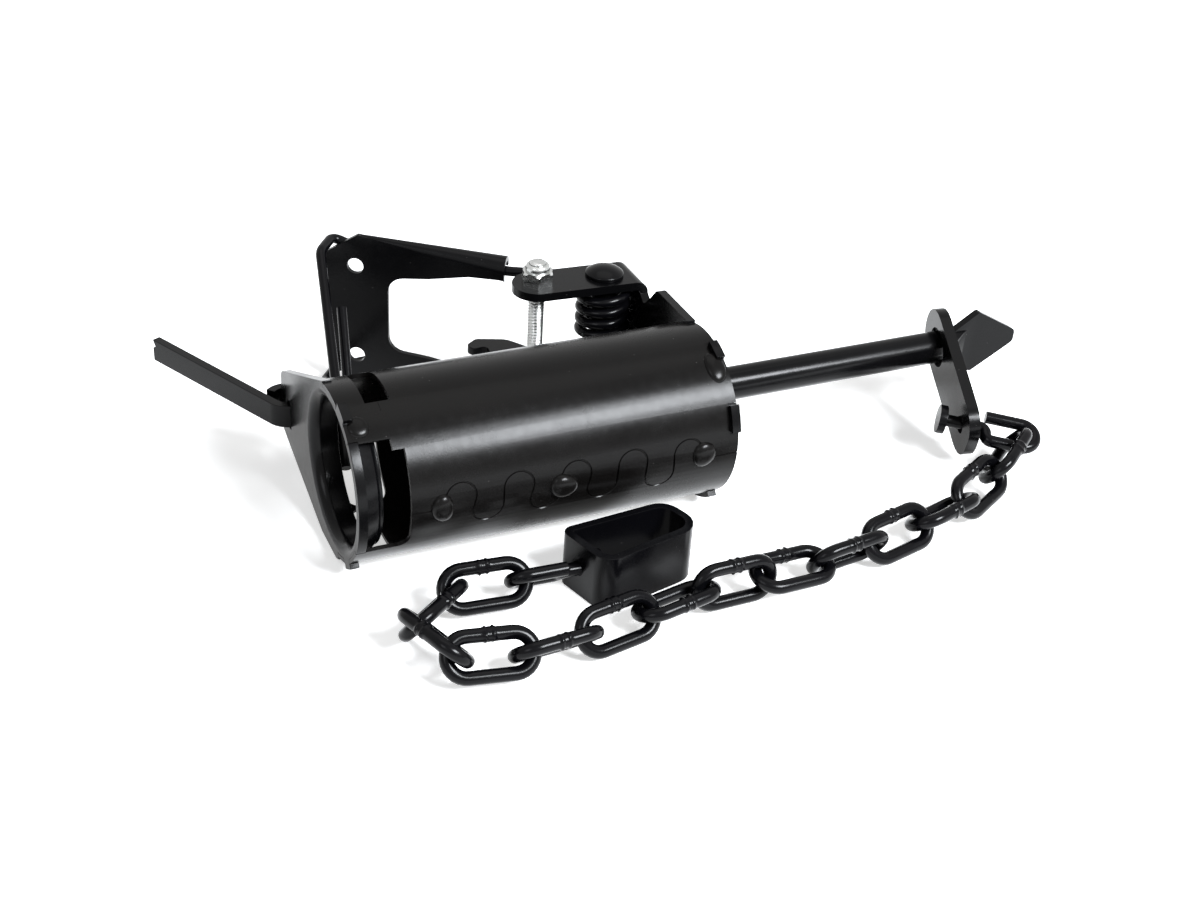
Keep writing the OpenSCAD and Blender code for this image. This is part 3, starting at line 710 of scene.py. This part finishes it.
class TRAP_OT_fasteners(bpy.types.Operator):
    """Threads the trigger bolt and makes its lock nut"""

    bl_idname = "trap.fasteners"
    bl_label = "Bolt and nut"
    bl_options = {"REGISTER", "UNDO"}

    def execute(self, context):
        sizes = context.scene.trap_sizes
        nut_af, nut_h, collar_h, head_h = 11.1, 5.6, 2.6, 4.2
        pitch, depth = sizes.thread_pitch / MM, sizes.thread_depth / MM
        bolt_r = 3.15
        low, top = -FLANGE_Z, FLANGE_Z + nut_h + collar_h + 0.8

        def thread(a, z):
            phase = (z / pitch - a / (2 * math.pi)) % 1
            flank = abs(2 * phase - 1)
            fade = min(1, max(0, (z - low - 1) / 1.5), max(0, (top - z) / 0.9))
            return -depth * fade * min(1, max(0, 1.25 * flank - 0.12))

        steps_up = int((top - low) / pitch * 8)
        profile = [(bolt_r - 0.6, top), (bolt_r - 0.05, top - 0.4)]
        profile += [(bolt_r, top - 0.6 - (top - low - 0.8) * i / steps_up) for i in range(steps_up + 1)]
        profile += [(bolt_r, low)]
        work = turned(profile, THREAD_SIDES, thread)
        place = Matrix.Translation(Vector((BOLT[0], BOLT[1], 0)) * MM) @ Matrix.Scale(MM, 4)
        bmesh.ops.transform(work, matrix=place, verts=work.verts)
        head = self.hexagon(nut_af, -FLANGE_Z - head_h, -FLANGE_Z, 20, bottom=True)
        bmesh.ops.transform(head, matrix=place, verts=head.verts)
        mesh = to_mesh("bolt_head", head, 25)
        add_piece("bolt_head", mesh, "trap_frame", "zinc")
        add_piece("threaded_bolt", to_mesh("threaded_bolt", work, 50), "trap_frame", "zinc", ["trigger_bolt"])

        nut = self.hexagon(nut_af, FLANGE_Z, FLANGE_Z + nut_h, 12, bottom=False)
        bmesh.ops.transform(nut, matrix=place, verts=nut.verts)
        add_piece("nut_hexagon", to_mesh("nut_hexagon", nut, 25), "trap_frame", "zinc", ["lock_nut"])
        base, rim = FLANGE_Z + nut_h - 0.4, FLANGE_Z + nut_h + collar_h
        outer = nut_af / 2 - 0.9
        collar = [(outer, base), (outer, rim - 1.3), (outer - 0.25, rim - 0.55), (outer - 0.75, rim - 0.08),
                  (outer - 1.2, rim), (outer - 1.55, rim - 0.25), (outer - 1.6, rim - 1.2), (0.4, rim - 1.25)]
        work = turned(collar, COLLAR_SIDES)
        bmesh.ops.transform(work, matrix=place, verts=work.verts)
        add_piece("nut_collar", to_mesh("nut_collar", work, 60), "trap_frame", "zinc")
        ring = [(outer - 1.5, rim - 1.35), (outer - 1.5, rim - 0.75), (outer - 1.85, rim - 0.6),
                (bolt_r - 0.2, rim - 0.65), (bolt_r - 0.25, rim - 1.35)]
        work = turned(ring, COLLAR_SIDES)
        bmesh.ops.transform(work, matrix=place, verts=work.verts)
        add_piece("nut_insert", to_mesh("nut_insert", work, 60), "trap_frame", "nylon")
        return {"FINISHED"}

    @staticmethod
    def hexagon(across, low, top, spin, bottom):
        """A hexagon whose corners are turned down at one end."""
        work = bmesh.new()
        corner = across / 2 / math.cos(math.radians(30))
        rows = []
        levels = 7
        for j in range(levels + 1):
            z = low + (top - low) * j / levels
            row = []
            for k in range(NUT_SIDES):
                a = 2 * math.pi * k / NUT_SIDES
                local = (a % (math.pi / 3)) - math.pi / 6
                reach = across / 2 / math.cos(local)
                from_end = (z - low) if bottom else (top - z)
                reach = min(reach, across / 2 + 0.1 + from_end * 1.6)
                turn = a + math.radians(spin)
                row.append(work.verts.new((reach * math.cos(turn), reach * math.sin(turn), z)))
            rows.append(row)
        join_rings(work, rows)
        return work


class TRAP_OT_rod(bpy.types.Operator):
    """Makes the anchor rod, the swivel plate and the two swivel eyes"""

    bl_idname = "trap.rod"
    bl_label = "Rod and swivels"
    bl_options = {"REGISTER", "UNDO"}

    def execute(self, _context):
        dressed("anchor_rod", "black_paint", 0.3 * MM)
        dressed("swivel_plate", "black_paint", 0.35 * MM)
        dressed("rod_eye", "chain_paint", 0.25 * MM)
        dressed("box_eye", "chain_paint", 0.25 * MM)
        dressed("box_swivel", "chain_paint", 0.45 * MM)
        return {"FINISHED"}


def link_axes(node):
    """Centre and the long, wide and thin directions of a link, from its solid."""
    co = [v.co for v in frame["nodes"][node].data.vertices]
    mesh = frame["nodes"][node].data
    mesh.calc_loop_triangles()
    area, centre = 0.0, Vector((0, 0, 0))
    pieces = []
    for tri in mesh.loop_triangles:
        a, b, c = (co[i] for i in tri.vertices)
        size = (b - a).cross(c - a).length / 2
        pieces.append((size, a, b, c))
        area += size
        centre += size * (a + b + c) / 3
    centre /= area
    spread = [[0.0] * 3 for _ in range(3)]
    for size, a, b, c in pieces:
        a, b, c = a - centre, b - centre, c - centre
        total = a + b + c
        for p in range(3):
            for q in range(3):
                spread[p][q] += size / 12 * (a[p] * a[q] + b[p] * b[q] + c[p] * c[q] + total[p] * total[q])
    matrix = Matrix(spread)
    long_way = power_axis(matrix, None)
    wide_way = power_axis(matrix, long_way)
    return centre, long_way, wide_way, long_way.cross(wide_way)


def power_axis(matrix, other):
    """The direction of the largest spread, at right angles to another if one is given."""
    v = Vector((0.61, 0.53, 0.59))
    for _ in range(120):
        v = matrix @ v
        if other is not None:
            v -= v.dot(other) * other
        v.normalize()
    return v


class TRAP_OT_chain(bpy.types.Operator):
    """Makes the welded links"""

    bl_idname = "trap.chain"
    bl_label = "Chain"
    bl_options = {"REGISTER", "UNDO"}

    def execute(self, context):
        sizes = context.scene.trap_sizes
        wire_r = sizes.link_wire / 2
        weld = sizes.link_weld / wire_r
        pitch_half = 14.4 * MM
        turn_r = 6.6 * MM
        straight = pitch_half - turn_r
        for index in range(1, LINKS + 1):
            node = f"chain_link_{index}"
            centre, long_way, wide_way, thin_way = link_axes(node)
            if wide_way.z < 0 or (abs(wide_way.z) < 0.25 and wide_way.y < 0):
                wide_way = -wide_way
            near_weld = [-1.0, -0.8, -0.62, -0.5, -0.4, -0.3, -0.2, -0.1, 0.0, 0.1, 0.2, 0.3, 0.4, 0.5, 0.62,
                         0.8, 1.0]
            outline = []
            for t in near_weld:
                outline.append((t * 3.2 * MM, turn_r, t))
            arc = 14
            for k in range(arc + 1):
                a = math.pi / 2 - math.pi * k / arc
                outline.append((straight + turn_r * math.cos(a), turn_r * math.sin(a), None))
            for k in range(1, 6):
                outline.append((straight - 2 * straight * k / 6, -turn_r, None))
            for k in range(arc + 1):
                a = -math.pi / 2 - math.pi * k / arc
                outline.append((-straight + turn_r * math.cos(a), turn_r * math.sin(a), None))
            points = [centre + x * long_way + y * wide_way for x, y, _ in outline]
            marks = [mark for _, _, mark in outline]

            def swell(i, a, marks=marks, seed=index):
                mark = marks[i]
                if mark is None:
                    return 1.0
                ridge = math.exp(-((abs(mark) - 0.42) / 0.16) ** 2) + 0.35 * math.exp(-(mark / 0.2) ** 2)
                rough = 1 + 0.45 * math.sin(3 * a + seed) + 0.25 * math.sin(5 * a + 2 * seed + 3 * mark)
                return 1 + weld * ridge * rough

            work = closed_skin(points, thin_way, wire_r, LINK_SIDES, swell)
            add_piece(f"link_{index}_welded", to_mesh(f"link_{index}_welded", work, 60),
                      frame["nodes"][node]["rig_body"], "chain_paint", [node])
        return {"FINISHED"}


def closed_skin(points, normal, radius, sides, swell):
    """A ring of round wire through points that lie in one plane."""
    work = bmesh.new()
    count = len(points)
    rings = []
    for i, point in enumerate(points):
        heading = unit(points[(i + 1) % count] - points[i - 1])
        across = unit(heading.cross(normal))
        ring = []
        for k in range(sides):
            a = 2 * math.pi * k / sides
            r = radius * swell(i, a)
            ring.append(work.verts.new(point + r * (math.cos(a) * across + math.sin(a) * normal)))
        rings.append(ring)
    join_rings(work, rings + rings[:1], capped=False)
    return work


class TRAP_OT_stage(bpy.types.Operator):
    """Makes the floor, the lights and the camera"""

    bl_idname = "trap.stage"
    bl_label = "Stage"
    bl_options = {"REGISTER", "UNDO"}

    def execute(self, context):
        stage = context.scene.trap_stage
        self.floor(stage)
        self.world(context.scene)
        powers = {"key": stage.key_power, "top": stage.top_power, "left": stage.left_power}
        for name, azimuth, elevation, distance, size, tint in LAMPS:
            self.lamp(name, azimuth, elevation, distance, size, powers[name], tint)
        self.camera(stage)
        context.scene.view_settings.view_transform = "Standard"
        return {"FINISHED"}

    @staticmethod
    def floor(stage):
        work = bmesh.new()
        level = CAD_BOX[0][2] - FLOOR_DROP
        corners = [work.verts.new((x * FLOOR_REACH, y * FLOOR_REACH, level))
                   for x, y in ((-1, -1), (1, -1), (1, 1), (-1, 1))]
        work.faces.new(corners)
        mesh = bpy.data.meshes.new("floor")
        work.to_mesh(mesh)
        work.free()
        made = bpy.data.objects.new("floor", mesh)
        bpy.context.scene.collection.objects.link(made)
        finish = Finish("floor_finish")
        finish.set("Base Color", (*stage.floor, 1))
        finish.set("Roughness", 0.85)
        finish.set("Specular IOR Level", 0.0)
        finish.set("Emission Color", finish.blend(finish.seen_rays(), (0, 0, 0), FLOOR_GLOW))
        finish.set("Emission Strength", 1.0)
        mesh.materials.append(finish.material)

    @staticmethod
    def world(scene):
        world = bpy.data.worlds.new("plain_world")
        scene.world = world
        world.use_nodes = True
        nodes = Nodes(world.node_tree)
        light = nodes.node("ShaderNodeBackground", {}, {"Color": (*SKY_TINT, 1), "Strength": SKY_STRENGTH})
        shown = nodes.node("ShaderNodeBackground", {}, {"Color": (1, 1, 1, 1), "Strength": 1.0})
        mix = nodes.node("ShaderNodeMixShader", {}, {0: nodes.seen_rays(), 1: light, 2: shown})
        nodes.put(world.node_tree.nodes["World Output"].inputs["Surface"], mix)

    @staticmethod
    def lamp(name, azimuth, elevation, distance, size, power, tint):
        """An area light round the trap. Azimuth is from +X towards +Y, in degrees."""
        data = bpy.data.lights.new(name, "AREA")
        data.shape = "RECTANGLE"
        data.size, data.size_y = size
        data.energy = power
        data.color = tint
        made = bpy.data.objects.new(name, data)
        bpy.context.scene.collection.objects.link(made)
        a, e = math.radians(azimuth), math.radians(elevation)
        away = Vector((math.cos(a) * math.cos(e), math.sin(a) * math.cos(e), math.sin(e)))
        turn = away.to_track_quat("Z", "Y").to_matrix().to_4x4()
        made.matrix_world = Matrix.Translation(LIT_MIDDLE + away * distance) @ turn

    @staticmethod
    def camera(stage):
        data = bpy.data.cameras.new("camera")
        data.sensor_width = 36
        data.sensor_fit = "HORIZONTAL"
        data.lens = stage.lens
        data.clip_start, data.clip_end = 0.01, 50
        made = bpy.data.objects.new("camera", data)
        bpy.context.scene.collection.objects.link(made)
        back = CAMERA_BACK.normalized()
        up = back.cross(CAMERA_RIGHT.normalized()).normalized()
        right = up.cross(back)
        place = CAMERA_PLACE * MM
        made.matrix_world = Matrix(((right.x, up.x, back.x, place.x), (right.y, up.y, back.y, place.y),
                                    (right.z, up.z, back.z, place.z), (0, 0, 0, 1)))
        bpy.context.scene.camera = made


class TRAP_PT_panel(bpy.types.Panel):
    """Sizes, colours and pieces of the trap"""

    bl_idname = "TRAP_PT_panel"
    bl_label = "Raccoon trap"
    bl_space_type = "VIEW_3D"
    bl_region_type = "UI"
    bl_category = "Raccoon trap"

    def draw(self, context):
        for group in (context.scene.trap_sizes, context.scene.trap_colours, context.scene.trap_stage):
            box = self.layout.box()
            for key in group.__annotations__:
                box.prop(group, key)
        for operator in OPERATORS:
            self.layout.operator(operator.bl_idname)


GROUPS = (("trap_sizes", TrapSizes), ("trap_colours", TrapColours), ("trap_stage", TrapStage))
OPERATORS = (TRAP_OT_stage, TRAP_OT_tube, TRAP_OT_plates, TRAP_OT_lever, TRAP_OT_spring, TRAP_OT_fasteners,
             TRAP_OT_rod, TRAP_OT_chain)


def register():
    for name, group in GROUPS:
        bpy.utils.register_class(group)
        setattr(bpy.types.Scene, name, PointerProperty(type=group))
    for operator in OPERATORS:
        bpy.utils.register_class(operator)
    bpy.utils.register_class(TRAP_PT_panel)


def unregister():
    bpy.utils.unregister_class(TRAP_PT_panel)
    for operator in reversed(OPERATORS):
        bpy.utils.unregister_class(operator)
    for name, group in reversed(GROUPS):
        delattr(bpy.types.Scene, name)
        bpy.utils.unregister_class(group)


def main():
    register()
    for operator in OPERATORS:
        space, name = operator.bl_idname.split(".")
        getattr(getattr(bpy.ops, space), name)()


if __name__ == "__main__":
    main()
